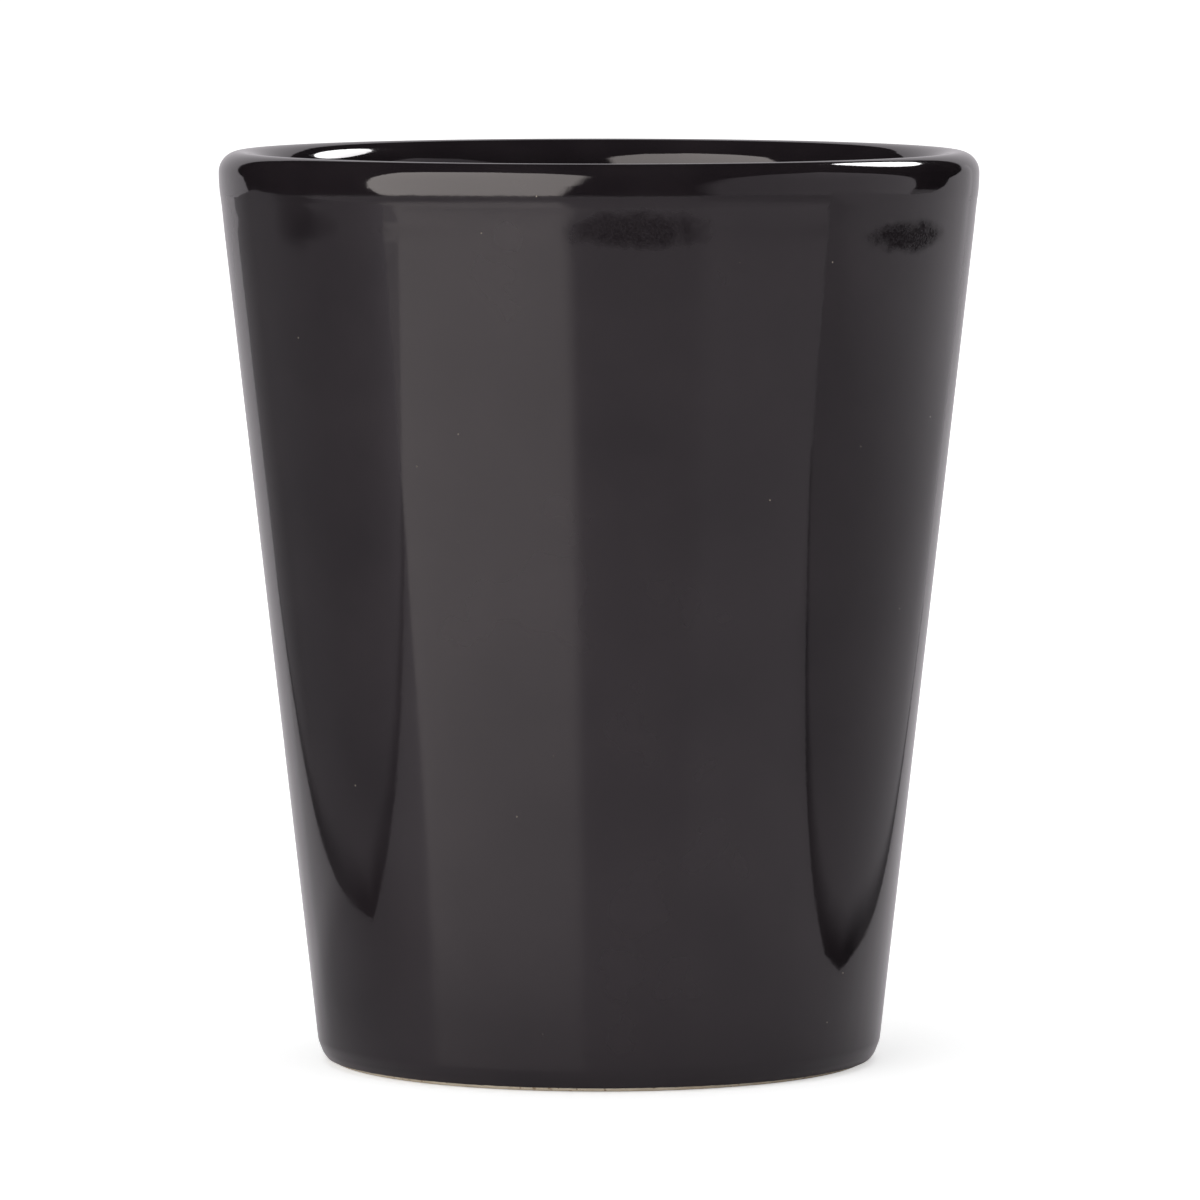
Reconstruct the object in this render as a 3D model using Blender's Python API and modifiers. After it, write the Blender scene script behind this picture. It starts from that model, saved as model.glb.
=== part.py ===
"""Small handleless cup: a turned clay body with a coat of glaze outside, inside and underneath.

The cup stands on z = 0 with its axis on +Z. Every piece is a turned profile of (radius, height)
points. A finished face is the outside of a coat of glaze, and the clay lies inset behind it.
"""
import math

import bpy

# Finished sizes, glaze included, in metres
HEIGHT = 0.05715  # table to the crest of the lip
RIM_DIAMETER = 0.0476  # widest, across the outer round of the lip
FOOT_DIAMETER = 0.0351  # outer wall carried straight down to the table
LIP_OUTER_ROUND = 0.0013  # radius of the lip from the crest outwards
LIP_INNER_ROUND = 0.00205  # radius of the lip from the crest inwards
LIP_BLEND = 0.012  # radius that eases the lip into the straight outer wall
WALL_AT_FLOOR = 0.0034  # wall thickness, level with the inside floor
FLOOR_HEIGHT = 0.006  # table to the inside floor
FLOOR_FILLET = 0.005  # inside corner between the wall and the floor

# Bare clay foot
FOOT_EDGE_ROUND = 0.0009  # outer corner of the standing ring
FOOT_RING_WIDTH = 0.0026  # flat of the standing ring
RECESS_DEPTH = 0.001  # hollow under the floor, inside the standing ring
RECESS_SIDE_RUN = 0.0006  # how far the side of the recess leans in over its depth

# Coats of glaze
GLAZE_THICKNESS = 0.0003
GLAZE_LINE = 0.0004  # height on the clay where the outside coat ends
GLAZE_TAPER = 0.0012  # height over which the outside coat thins towards that edge
GLAZE_EDGE = 0.0001  # thickness left at that edge
BASE_GLAZE_MARGIN = 0.001  # bare clay between the base patch and the side of the recess
BOND_GAP = 0.00005  # clearance between a coat and the clay, and between two coats

# Facets
TURN_STEPS = 64
TAPER_STEPS = 6
ARC_STEP = math.radians(12)

# Finishes
GLAZE_BLACK = (0.012, 0.0115, 0.0115, 1.0)
GLAZE_ROUGHNESS = 0.12
CLAY_CREAM = (0.50, 0.45, 0.36, 1.0)
CLAY_ROUGHNESS = 0.85
NOT_METAL = 0.0

MERGE_DISTANCE = 0.000001

# The clay lies this far behind a finished face
COAT = GLAZE_THICKNESS + BOND_GAP

CREST_RADIUS = RIM_DIAMETER / 2 - LIP_OUTER_ROUND
LIP_CENTRE_HEIGHT = HEIGHT - LIP_OUTER_ROUND
BLEND_CENTRE_RADIUS = RIM_DIAMETER / 2 - LIP_BLEND


def tangent_lean(run, rise, round_radius):
    """Lean from the vertical of a wall line that rises from its foot and touches a round at its top.

    The centre of the round lies run outwards from the foot of the line and rise above it. A positive
    radius puts the round on the axis side of the line, and a negative one on the far side.
    """
    return math.atan2(run, rise) + math.asin(round_radius / math.hypot(run, rise))


OUTER_LEAN = tangent_lean(BLEND_CENTRE_RADIUS - FOOT_DIAMETER / 2, LIP_CENTRE_HEIGHT, LIP_BLEND)


def outer_wall_radius(height, inset):
    """Radius of the straight outer wall at a height, inset square to the finished face."""
    return FOOT_DIAMETER / 2 + height * math.tan(OUTER_LEAN) - inset / math.cos(OUTER_LEAN)


INNER_FLOOR_RADIUS = outer_wall_radius(FLOOR_HEIGHT, 0) - WALL_AT_FLOOR
INNER_LEAN = tangent_lean(
    CREST_RADIUS - INNER_FLOOR_RADIUS, HEIGHT - LIP_INNER_ROUND - FLOOR_HEIGHT, -LIP_INNER_ROUND
)
FILLET_CENTRE_RADIUS = INNER_FLOOR_RADIUS - FLOOR_FILLET * (1 - math.sin(INNER_LEAN)) / math.cos(INNER_LEAN)

# Centre of the round at the outer corner of the standing ring, and where the straight wall meets it
FOOT_CENTRE_RADIUS = outer_wall_radius(FOOT_EDGE_ROUND, COAT + FOOT_EDGE_ROUND)
FOOT_EDGE_TOP = FOOT_EDGE_ROUND * (1 - math.sin(OUTER_LEAN))
RING_INNER_RADIUS = FOOT_CENTRE_RADIUS - FOOT_RING_WIDTH
RECESS_RADIUS = RING_INNER_RADIUS - RECESS_SIDE_RUN


def arc(centre, radius, start, end):
    """Points along a circular arc in the profile plane, both ends included."""
    count = max(2, round(abs(end - start) / ARC_STEP))
    points = []
    for index in range(count + 1):
        angle = start + (end - start) * index / count
        points.append((centre[0] + radius * math.cos(angle), centre[1] + radius * math.sin(angle)))
    return points


def outer_lip(inset):
    """Lip from its crest over the widest point and down to the straight outer wall."""
    lip = arc((CREST_RADIUS, LIP_CENTRE_HEIGHT), LIP_OUTER_ROUND - inset, math.pi / 2, 0)
    blend = arc((BLEND_CENTRE_RADIUS, LIP_CENTRE_HEIGHT), LIP_BLEND - inset, 0, -OUTER_LEAN)
    return lip + blend[1:]


def clay_outside(height, offset):
    """Point off the outside of the clay, square to it, on the wall or round the corner of the foot."""
    if height > FOOT_EDGE_TOP:
        tilt = -OUTER_LEAN
        radius = outer_wall_radius(height, COAT)
    else:
        tilt = math.asin(height / FOOT_EDGE_ROUND - 1)
        radius = FOOT_CENTRE_RADIUS + FOOT_EDGE_ROUND * math.cos(tilt)
    return (radius + offset * math.cos(tilt), height + offset * math.sin(tilt))


def inner_face(inset):
    """Inside face from the middle of the floor, up the wall and over to the crest of the lip."""
    floor_centre = (FILLET_CENTRE_RADIUS, FLOOR_HEIGHT + FLOOR_FILLET)
    fillet = arc(floor_centre, FLOOR_FILLET + inset, -math.pi / 2, -INNER_LEAN)
    lip_centre = (CREST_RADIUS, HEIGHT - LIP_INNER_ROUND)
    lip = arc(lip_centre, LIP_INNER_ROUND - inset, math.pi - INNER_LEAN, math.pi / 2)
    return [(0, FLOOR_HEIGHT - inset)] + fillet + lip


def clay_profile():
    """Whole section of the clay, from the inside floor over the lip and down to the underside."""
    foot_edge = arc((FOOT_CENTRE_RADIUS, FOOT_EDGE_ROUND), FOOT_EDGE_ROUND, -OUTER_LEAN, -math.pi / 2)
    underside = [(RING_INNER_RADIUS, 0), (RECESS_RADIUS, RECESS_DEPTH), (0, RECESS_DEPTH)]
    return inner_face(COAT) + outer_lip(COAT)[1:] + foot_edge + underside


def outer_glaze_profile():
    """Outside coat, a closed ring: down its finished face and up the face that lies on the clay."""
    seam = CREST_RADIUS + BOND_GAP / 2
    finished = [(seam, HEIGHT)] + outer_lip(0)[1:]
    bonded = [(seam, HEIGHT - GLAZE_THICKNESS)] + outer_lip(GLAZE_THICKNESS)[1:]
    for step in range(TAPER_STEPS + 1):
        share = step / TAPER_STEPS
        height = GLAZE_LINE + GLAZE_TAPER * (1 - share)
        thickness = GLAZE_THICKNESS + (GLAZE_EDGE - GLAZE_THICKNESS) * share
        finished.append(clay_outside(height, BOND_GAP + thickness))
        bonded.append(clay_outside(height, BOND_GAP))
    return finished + bonded[::-1]


def liner_glaze_profile():
    """Inside coat: up its finished face to the seam at the crest, and down the face on the clay."""
    seam = CREST_RADIUS - BOND_GAP / 2
    finished = inner_face(0)[:-1] + [(seam, HEIGHT)]
    bonded = [(seam, HEIGHT - GLAZE_THICKNESS)] + inner_face(GLAZE_THICKNESS)[-2::-1]
    return finished + bonded


def base_glaze_profile():
    """Patch of glaze on the ceiling of the recess, its edge thinned to a slope."""
    top = RECESS_DEPTH - BOND_GAP
    bottom = top - GLAZE_THICKNESS
    radius = RECESS_RADIUS - BASE_GLAZE_MARGIN
    return [(0, top), (radius, top), (radius - GLAZE_THICKNESS, bottom), (0, bottom)]


def make_material(name, colour, roughness):
    """Plain finish of one kind of surface."""
    material = bpy.data.materials.new(name)
    material.use_nodes = True
    shader = material.node_tree.nodes["Principled BSDF"]
    shader.inputs["Base Color"].default_value = colour
    shader.inputs["Roughness"].default_value = roughness
    shader.inputs["Metallic"].default_value = NOT_METAL
    material.diffuse_color = colour
    return material


def turn(name, profile, closed, material, collection, parent):
    """Turn a profile about the axis of the cup into one closed piece."""
    points = [(radius, 0, height) for radius, height in profile]
    edges = [(index, index + 1) for index in range(len(points) - 1)]
    if closed:
        edges.append((len(points) - 1, 0))
    mesh = bpy.data.meshes.new(name)
    mesh.from_pydata(points, edges, [])
    mesh.materials.append(material)
    piece = bpy.data.objects.new(name, mesh)
    collection.objects.link(piece)
    piece.parent = parent
    screw = piece.modifiers.new("turned about the axis", "SCREW")
    screw.axis = "Z"
    screw.angle = math.tau
    screw.steps = TURN_STEPS
    screw.render_steps = TURN_STEPS
    screw.use_merge_vertices = True
    screw.merge_threshold = MERGE_DISTANCE
    screw.use_smooth_shade = True
    return piece


def main():
    for old in list(bpy.data.objects):
        bpy.data.objects.remove(old, do_unlink=True)

    collection = bpy.data.collections.new("handleless_cup")
    bpy.context.scene.collection.children.link(collection)
    axis = bpy.data.objects.new("cup_axis", None)
    collection.objects.link(axis)

    clay = make_material("bare_clay", CLAY_CREAM, CLAY_ROUGHNESS)
    outside = make_material("outside_glaze", GLAZE_BLACK, GLAZE_ROUGHNESS)
    inside = make_material("inside_glaze", GLAZE_BLACK, GLAZE_ROUGHNESS)
    underside = make_material("underside_glaze", GLAZE_BLACK, GLAZE_ROUGHNESS)

    turn("clay_body", clay_profile(), False, clay, collection, axis)
    turn("outer_glaze", outer_glaze_profile(), True, outside, collection, axis)
    turn("liner_glaze", liner_glaze_profile(), False, inside, collection, axis)
    turn("base_glaze", base_glaze_profile(), False, underside, collection, axis)


main()
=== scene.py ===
# %% [markdown]
# # A black glazed shot cup
# The object is a small tapered cup without a handle: a turned clay body in glossy black glaze, standing
# on a thin strip of bare clay. A cup like this is almost all reflection, so the lesson spends its time
# on three things: a smooth turned surface, a glaze that reflects like glass, and the studio around it.
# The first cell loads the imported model, which fixes every size and place.

import math

import bmesh
import bpy
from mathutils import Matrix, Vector


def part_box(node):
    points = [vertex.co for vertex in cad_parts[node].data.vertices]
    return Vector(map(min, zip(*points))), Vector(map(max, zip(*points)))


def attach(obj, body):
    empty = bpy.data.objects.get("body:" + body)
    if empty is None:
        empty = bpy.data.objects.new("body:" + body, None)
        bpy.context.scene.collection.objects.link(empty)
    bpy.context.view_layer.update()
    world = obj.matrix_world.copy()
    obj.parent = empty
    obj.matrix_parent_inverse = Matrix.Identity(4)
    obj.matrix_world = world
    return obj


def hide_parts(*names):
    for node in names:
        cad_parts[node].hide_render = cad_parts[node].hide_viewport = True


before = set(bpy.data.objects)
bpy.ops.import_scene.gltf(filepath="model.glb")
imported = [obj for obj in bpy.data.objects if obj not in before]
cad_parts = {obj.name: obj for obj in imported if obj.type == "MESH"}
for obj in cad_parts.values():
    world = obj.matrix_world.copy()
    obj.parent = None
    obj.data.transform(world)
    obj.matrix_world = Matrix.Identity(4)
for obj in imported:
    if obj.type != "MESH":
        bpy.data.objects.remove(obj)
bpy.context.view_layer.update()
scene = bpy.context.scene


def rounded(box):
    return [tuple(round(value, 5) for value in corner) for corner in box]


# %% [markdown]
# ## Sizes
# Heights and radii are read from the frame, so the looks sit exactly where the solids are. Only what a
# box cannot tell is written here: where the wall would meet the table, how thick the wall and the glaze
# are, and how the lip and the inside corner are rounded. All lengths are metres.

# %% Sizes of the cup
outer_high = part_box("outer_glaze")[1]
liner_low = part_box("liner_glaze")[0]
patch_low, patch_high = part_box("base_glaze")

HEIGHT = outer_high.z
RIM_RADIUS = outer_high.x
FOOT_RADIUS = 0.01755
GLAZE_THICKNESS = 0.0003
FLOOR_HEIGHT = liner_low.z + GLAZE_THICKNESS
WALL_AT_FLOOR = 0.0034
FLOOR_FILLET = 0.005
LIP_OUTER_ROUND = 0.0013
LIP_BLEND = 0.012
LIP_INNER_ROUND = 0.00205
MILLIMETRES = 1000
print("cup %.2f mm tall, %.2f mm across" % (HEIGHT * MILLIMETRES, RIM_RADIUS * 2 * MILLIMETRES))

# %% [markdown]
# ## The section of the cup
# Cut the cup in half and its section is a few straight lines joined by arcs. The wall is a line that
# touches the round of the lip, so its lean follows from the two. The section could be drawn by hand as a
# curve, but formulas keep it exact at any number of points. That matters on a mirror-like surface, where
# every kink shows.

# %% Lines and arcs of the section
def tangent_lean(run, rise, round_radius):
    """Lean of a line that rises from its foot and touches a round whose centre lies at (run, rise)."""
    return math.atan2(run, rise) + math.asin(round_radius / math.hypot(run, rise))


def arc(centre, radius, start, end, count):
    points = []
    for index in range(count + 1):
        angle = start + (end - start) * index / count
        points.append((centre[0] + radius * math.cos(angle), centre[1] + radius * math.sin(angle)))
    return points


CREST_RADIUS = RIM_RADIUS - LIP_OUTER_ROUND
LIP_HEIGHT = HEIGHT - LIP_OUTER_ROUND
OUTER_LEAN = tangent_lean(RIM_RADIUS - LIP_BLEND - FOOT_RADIUS, LIP_HEIGHT, LIP_BLEND)


def wall_point(height, inset):
    radius = FOOT_RADIUS + height * math.tan(OUTER_LEAN) - inset / math.cos(OUTER_LEAN)
    return (radius, height)


INNER_FOOT = wall_point(FLOOR_HEIGHT, 0)[0] - WALL_AT_FLOOR
INNER_RISE = HEIGHT - LIP_INNER_ROUND - FLOOR_HEIGHT
INNER_LEAN = tangent_lean(CREST_RADIUS - INNER_FOOT, INNER_RISE, -LIP_INNER_ROUND)
FILLET_CENTRE = (
    INNER_FOOT - FLOOR_FILLET * (1 - math.sin(INNER_LEAN)) / math.cos(INNER_LEAN),
    FLOOR_HEIGHT + FLOOR_FILLET,
)
print("outer wall leans %.2f degrees, inner %.2f" % (math.degrees(OUTER_LEAN), math.degrees(INNER_LEAN)))

# %% [markdown]
# ## A turning wheel in Geometry Nodes
# The clay was shaped on a wheel, so every piece here follows one rule: a section turned about the axis.
# A Screw modifier would do that, but a small node tree can do more. It takes the section as a line of
# points, lays a grid over it, bends the grid round the axis, and then lets the surface wander the way
# fired glaze does: a faint swell over the faces, and a ragged lower edge where the foot was wiped.
# Two attributes on each point of the section say how much of each it gets: "swell" is a share, and
# "edge" is a small vector, outwards and upwards, along which that point slides.

# %% Node helpers
def add_node(tree, kind, **settings):
    made = tree.nodes.new(kind)
    for name, value in settings.items():
        setattr(made, name, value)
    return made


def join(tree, *pairs):
    for source, target in pairs:
        tree.links.new(source, target)


def fill(tree, sockets, values):
    """Link each value that is a socket, and set each one that is a constant."""
    for socket, value in zip(sockets, values):
        if isinstance(value, bpy.types.NodeSocket):
            tree.links.new(value, socket)
        elif value is not None:
            socket.default_value = value


def maths(tree, operation, first, second=None):
    made = add_node(tree, "ShaderNodeMath", operation=operation)
    fill(tree, made.inputs, (first, second))
    return made.outputs[0]


def whole_maths(tree, operation, first, second):
    made = add_node(tree, "FunctionNodeIntegerMath", operation=operation)
    fill(tree, made.inputs, (first, second))
    return made.outputs[0]


def vector_maths(tree, operation, first, second=None):
    made = add_node(tree, "ShaderNodeVectorMath", operation=operation)
    fill(tree, made.inputs, (first, second))
    return made


def split_axes(tree, vector):
    made = add_node(tree, "ShaderNodeSeparateXYZ")
    join(tree, (vector, made.inputs[0]))
    return made.outputs


# %% Inputs of the turning tree
TURNING_INPUTS = (
    ("Section", "NodeSocketGeometry"),
    ("Steps", "NodeSocketInt"),
    ("Swell height", "NodeSocketFloat"),
    ("Swells per metre", "NodeSocketFloat"),
    ("Edge tilt", "NodeSocketFloat"),
    ("Edge tilt direction", "NodeSocketFloat"),
    ("Edge wander", "NodeSocketFloat"),
    ("Edge fray", "NodeSocketFloat"),
    ("Seed", "NodeSocketFloat"),
    ("Finish", "NodeSocketMaterial"),
)
turning_tree = bpy.data.node_groups.new("turn a section", "GeometryNodeTree")
for title, kind in TURNING_INPUTS:
    turning_tree.interface.new_socket(title, in_out="INPUT", socket_type=kind)
turning_tree.interface.new_socket("Piece", in_out="OUTPUT", socket_type="NodeSocketGeometry")
given = add_node(turning_tree, "NodeGroupInput").outputs
print("turning tree takes:", ", ".join(title for title, _ in TURNING_INPUTS))

# %% [markdown]
# ### The grid, bent round the axis
# On the wheel the potter's hand holds one section while the clay goes round. The tree does the same with
# a grid: each row takes one point of the section, and each column turns it by one more step. A profile
# swept along a circle would also do, but it is turned by rules of its own, and the grid puts each point
# exactly where the section says. The two attributes are sampled in the same way and stored on the grid.
# Merging by distance closes the seam and the poles.

# %% Bend a grid over the section
WEIGHTS = (("swell", "FLOAT"), ("edge", "FLOAT_VECTOR"))
MERGE_DISTANCE = 0.0000005


def stored(tree, name, kind):
    attribute = add_node(tree, "GeometryNodeInputNamedAttribute", data_type=kind)
    attribute.inputs["Name"].default_value = name
    return attribute.outputs["Attribute"]


def sample_section(tree, section, row, kind, value):
    sample = add_node(tree, "GeometryNodeSampleIndex", data_type=kind)
    join(tree, (section, sample.inputs["Geometry"]), (value, sample.inputs["Value"]))
    join(tree, (row, sample.inputs["Index"]))
    return sample.outputs[0]


def bent_grid(tree, section, steps):
    """Grid round the axis, and the number of the row that each of its points is in."""
    size = add_node(tree, "GeometryNodeAttributeDomainSize", component="MESH")
    grid = add_node(tree, "GeometryNodeMeshGrid")
    columns = whole_maths(tree, "ADD", steps, 1)
    join(tree, (section, size.inputs[0]), (size.outputs["Point Count"], grid.inputs["Vertices X"]))
    join(tree, (columns, grid.inputs["Vertices Y"]))
    index = add_node(tree, "GeometryNodeInputIndex").outputs[0]
    row = whole_maths(tree, "DIVIDE", index, columns)
    column = whole_maths(tree, "MODULO", index, columns)
    angle = maths(tree, "MULTIPLY", maths(tree, "DIVIDE", column, steps), math.tau)
    place = add_node(tree, "GeometryNodeInputPosition").outputs[0]
    point = sample_section(tree, section, row, "FLOAT_VECTOR", place)
    turned = add_node(tree, "ShaderNodeVectorRotate", rotation_type="Z_AXIS")
    join(tree, (point, turned.inputs["Vector"]), (angle, turned.inputs["Angle"]))
    laid = add_node(tree, "GeometryNodeSetPosition")
    join(tree, (grid.outputs["Mesh"], laid.inputs["Geometry"]))
    join(tree, (turned.outputs[0], laid.inputs["Position"]))
    return laid.outputs[0], row


def closed_form(tree, section, form, row):
    """The grid with the weights of the section on it, closed at its seam and poles."""
    for name, kind in WEIGHTS:
        store = add_node(tree, "GeometryNodeStoreNamedAttribute", data_type=kind, domain="POINT")
        store.inputs["Name"].default_value = name
        value = sample_section(tree, section, row, kind, stored(tree, name, kind))
        join(tree, (form, store.inputs["Geometry"]), (value, store.inputs["Value"]))
        form = store.outputs[0]
    closed = add_node(tree, "GeometryNodeMergeByDistance")
    closed.inputs["Distance"].default_value = MERGE_DISTANCE
    join(tree, (form, closed.inputs["Geometry"]))
    return closed.outputs[0]


bent_form, bent_row = bent_grid(turning_tree, given["Section"], given["Steps"])
turned_form = closed_form(turning_tree, given["Section"], bent_form, bent_row)
print("grid and weights:", len(turning_tree.nodes), "nodes")

# %% [markdown]
# ### Wander, fray and swell
# A dipped and wiped edge never runs true: it tilts a little, wanders slowly and frays finely. A glazed
# face is never quite flat either. Sculpting would do for one cup, but noise gives the same result on every
# run and has sizes to set. The edge reads its noise on the direction round the axis, so it closes on
# itself, and the swell reads its noise on the place in space.

# %% Move the surface
NOISE_MIDDLE = 0.5
WANDER_ROUNDS = 1.6
WANDER_DETAIL = 2
FRAY_ROUNDS = 38
FRAY_DETAIL = 3
SWELL_DETAIL = 2


def centred_noise(tree, place, scale, seed, detail):
    noise = add_node(tree, "ShaderNodeTexNoise", noise_dimensions="4D")
    sockets = [noise.inputs[name] for name in ("Vector", "Scale", "W", "Detail")]
    fill(tree, sockets, (place, scale, seed, detail))
    return maths(tree, "SUBTRACT", noise.outputs[0], NOISE_MIDDLE)


def edge_slide(tree, place):
    """Way that a point slides along its edge vector."""
    level = vector_maths(tree, "MULTIPLY", place, (1, 1, 0)).outputs[0]
    radial = vector_maths(tree, "NORMALIZE", level).outputs[0]
    axes = split_axes(tree, radial)
    round_angle = maths(tree, "ARCTAN2", axes["Y"], axes["X"])
    away = maths(tree, "SUBTRACT", round_angle, given["Edge tilt direction"])
    tilt = maths(tree, "MULTIPLY", maths(tree, "COSINE", away), given["Edge tilt"])
    wander = centred_noise(tree, radial, WANDER_ROUNDS, given["Seed"], WANDER_DETAIL)
    wander = maths(tree, "MULTIPLY", wander, given["Edge wander"])
    fray = centred_noise(tree, radial, FRAY_ROUNDS, given["Seed"], FRAY_DETAIL)
    fray = maths(tree, "MULTIPLY", fray, given["Edge fray"])
    run = maths(tree, "ADD", tilt, maths(tree, "ADD", wander, fray))
    edge = split_axes(tree, stored(tree, "edge", "FLOAT_VECTOR"))
    outwards = vector_maths(tree, "SCALE", radial)
    upwards = add_node(tree, "ShaderNodeCombineXYZ")
    join(tree, (maths(tree, "MULTIPLY", run, edge["X"]), outwards.inputs["Scale"]))
    join(tree, (maths(tree, "MULTIPLY", run, edge["Z"]), upwards.inputs["Z"]))
    return vector_maths(tree, "ADD", outwards.outputs[0], upwards.outputs[0]).outputs[0]


def swell_lift(tree, place):
    """Way that a point rises along its normal."""
    swell = centred_noise(tree, place, given["Swells per metre"], given["Seed"], SWELL_DETAIL)
    swell = maths(tree, "MULTIPLY", swell, given["Swell height"])
    swell = maths(tree, "MULTIPLY", swell, stored(tree, "swell", "FLOAT"))
    lifted = vector_maths(tree, "SCALE", add_node(tree, "GeometryNodeInputNormal").outputs[0])
    join(tree, (swell, lifted.inputs["Scale"]))
    return lifted.outputs[0]


def move_and_paint(tree, form):
    place = add_node(tree, "GeometryNodeInputPosition").outputs[0]
    offset = vector_maths(tree, "ADD", edge_slide(tree, place), swell_lift(tree, place)).outputs[0]
    moved = add_node(tree, "GeometryNodeSetPosition")
    real = add_node(tree, "GeometryNodeRealizeInstances")
    painted = add_node(tree, "GeometryNodeSetMaterial")
    result = add_node(tree, "NodeGroupOutput")
    join(tree, (form, moved.inputs["Geometry"]), (offset, moved.inputs["Offset"]))
    join(tree, (moved.outputs[0], real.inputs[0]), (real.outputs[0], painted.inputs["Geometry"]))
    join(tree, (given["Finish"], painted.inputs["Material"]), (painted.outputs[0], result.inputs[0]))


move_and_paint(turning_tree, turned_form)
print("turning tree:", len(turning_tree.nodes), "nodes")

# %% [markdown]
# ## From a section to a plain mesh
# A modifier's inputs are set by each socket's identifier before the object is evaluated for the first
# time. The evaluated result is then copied into a plain mesh, and the helper object goes away, so the
# finished piece is an ordinary mesh at the origin. The signed volume tells whether its faces point out.

# %% Turn a section
TURN_STEPS = 288
PLAIN_SEED = 1.0
SHARP_ANGLE = math.radians(40)
MILLILITRES = 1000000


def set_inputs(modifier, tree, values):
    for item in tree.interface.items_tree:
        if item.in_out == "INPUT" and item.name in values:
            modifier[item.identifier] = values[item.name]


def plain_mesh(helper, name):
    evaluated = helper.evaluated_get(bpy.context.evaluated_depsgraph_get())
    mesh = bpy.data.meshes.new_from_object(evaluated)
    mesh.name = name
    bpy.data.objects.remove(helper, do_unlink=True)
    return mesh


def signed_volume(mesh):
    form = bmesh.new()
    form.from_mesh(mesh)
    volume = form.calc_volume(signed=True)
    form.free()
    return volume


def section_line(name, section):
    """Section points are (radius, height, swell, edge); a closed section repeats its first point."""
    line = bpy.data.meshes.new(name + "_section")
    points = [(radius, 0, height) for radius, height, _, _ in section]
    line.from_pydata(points, [(i, i + 1) for i in range(len(points) - 1)], [])
    swells = line.attributes.new("swell", "FLOAT", "POINT")
    edges = line.attributes.new("edge", "FLOAT_VECTOR", "POINT")
    for index, (_, _, swell, (outwards, upwards)) in enumerate(section):
        swells.data[index].value = swell
        edges.data[index].vector = (outwards, 0, upwards)
    return line


def turn_piece(name, section, finish, values):
    helper = bpy.data.objects.new(name + "_wheel", section_line(name, section))
    scene.collection.objects.link(helper)
    wheel = helper.modifiers.new("wheel", "NODES")
    wheel.node_group = turning_tree
    settings = {"Steps": TURN_STEPS, "Seed": PLAIN_SEED, "Finish": finish}
    set_inputs(wheel, turning_tree, settings | values)
    mesh = plain_mesh(helper, name)
    if signed_volume(mesh) < 0:
        mesh.flip_normals()
    mesh.shade_smooth()
    mesh.set_sharp_from_angle(angle=SHARP_ANGLE)
    piece = bpy.data.objects.new(name, mesh)
    scene.collection.objects.link(piece)
    print("%s: %d faces, %.3f ml" % (name, len(mesh.polygons), signed_volume(mesh) * MILLILITRES))
    return piece


# %% [markdown]
# ## Black glaze
# Glaze is a thin layer of coloured glass. Its base is nearly black with a trace of plum, and what one
# sees is the reflection on top, set by the index of refraction of glass. It is never perfectly even:
# the colour drifts a little, the gloss varies where the melt ran thinner, and a very fine orange peel
# breaks up the reflections. A photograph of glaze could be wrapped round the cup, but noise on Object
# coordinates has no seam and bakes cleanly. The first cell holds the few node patterns that all the
# finishes share. A noise is named by its waves per metre and its octaves, a bump by its strength and
# its height.

# %% Material helpers
NOISE_SPAN = (0.3, 0.7)


def noise_at(tree, coordinate, scale, detail):
    noise = add_node(tree, "ShaderNodeTexNoise")
    noise.inputs["Scale"].default_value = scale
    noise.inputs["Detail"].default_value = detail
    join(tree, (coordinate, noise.inputs["Vector"]))
    return noise.outputs[0]


def ramp(tree, value, span, colours):
    made = add_node(tree, "ShaderNodeValToRGB")
    for element, position, colour in zip(made.color_ramp.elements, span, colours):
        element.position = position
        element.color = colour
    join(tree, (value, made.inputs[0]))
    return made.outputs[0]


def lay_over(tree, colour, share, other):
    """The first colour, with the other one over it where the share says."""
    made = add_node(tree, "ShaderNodeMix", data_type="RGBA")
    made.inputs["B"].default_value = other
    join(tree, (share, made.inputs["Factor"]), (colour, made.inputs["A"]))
    return made.outputs["Result"]


def spread(tree, value, low, high, to_low, to_high, smooth=False):
    made = add_node(tree, "ShaderNodeMapRange", interpolation_type="SMOOTHSTEP" if smooth else "LINEAR")
    fill(tree, made.inputs, (value, low, high, to_low, to_high))
    return made.outputs[0]


def bump(tree, height, strength, distance, below=None):
    made = add_node(tree, "ShaderNodeBump")
    made.inputs["Strength"].default_value = strength
    made.inputs["Distance"].default_value = distance
    join(tree, (height, made.inputs["Height"]))
    if below is not None:
        join(tree, (below, made.inputs["Normal"]))
    return made.outputs[0]


def new_material(name):
    material = bpy.data.materials.new(name)
    material.use_nodes = True
    tree = material.node_tree
    coordinate = add_node(tree, "ShaderNodeTexCoord").outputs["Object"]
    return material, tree, tree.nodes["Principled BSDF"].inputs, coordinate


# %% [markdown]
# ### Pinholes and smudges
# Here and there a pinhole in the glaze lets the clay show as a pale dot. A Voronoi texture finds the few
# places where the surface runs close to the middle of a cell, which scatters the dots without a list of
# places. Under the lip the outside has three dull, grainy smudges. They could be painted, but soft ovals
# placed by their direction round the axis and their depth below the crest are easier to move.

# %% Pinholes and smudges
PINHOLE_CELLS = 380
PINHOLE_REACH = (0.011, 0.024)
SMUDGE_DIRECTIONS = (-138, -84, -35.5)
SMUDGE_DEPTHS = (0.00395, 0.004, 0.00475)
SMUDGE_HALF_WIDTHS = (6, 11, 11)
SMUDGE_HALF_HEIGHTS = (0.0011, 0.0013, 0.0011)
SMUDGE_STRENGTHS = (0.45, 0.9, 1.15)
SMUDGE_FADE = (0.1, 1.2)
RAGGED_NOISE = (900, 3)
RAGGED_REACH = 0.3
GRAIN_NOISE = (7000, 2)
GRAIN_SPAN = (0.35, 0.6)
GRAIN_LEAST = 0.6


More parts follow.
